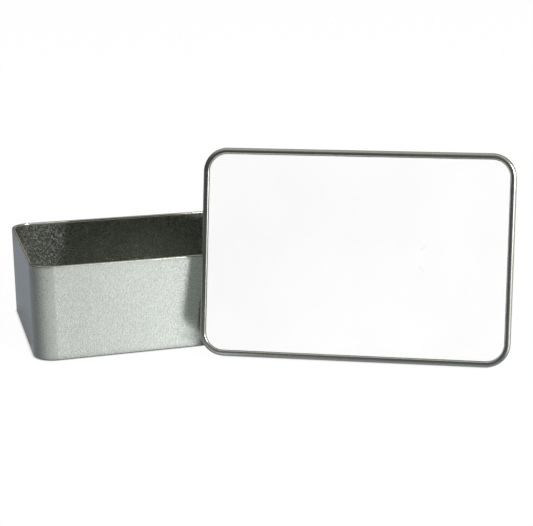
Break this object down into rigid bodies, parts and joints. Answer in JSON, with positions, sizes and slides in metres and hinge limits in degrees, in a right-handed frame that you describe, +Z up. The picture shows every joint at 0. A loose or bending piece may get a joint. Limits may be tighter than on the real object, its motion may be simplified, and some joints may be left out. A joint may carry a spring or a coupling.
{
  "type": "slip-lid card game tin",
  "caption": "Deep rectangular tinplate box with rounded corners; its loose slip lid, with a blank white face panel inside a raised rim, stands leaning on the box's front edge.",
  "frame": {"origin": "on the floor, under the middle of the space that the box and the standing lid take up together", "axes": "+X along the box's long side, +Y from the front, where the lid stands, to the back, +Z up"},
  "size_m": [0.2884, 0.2342, 0.1304],
  "materials": {
    "tinplate": "satin, fine orange-peel texture",
    "white_coating": "blank white, semi-gloss",
    "adhesive": "matt"
  },
  "bodies": {
    "base": {"base_wall": "tinplate", "base_bottom": "tinplate"},
    "lid": {"lid_shell": "tinplate", "lid_panel": "white_coating", "adhesive_sheet": "adhesive"}
  },
  "joints": [
    {"name": "lid_lift", "type": "slide", "parent": "base", "child": "lid", "axis": [0, 0, 1], "range_m": [0, 0.075]}
  ]
}
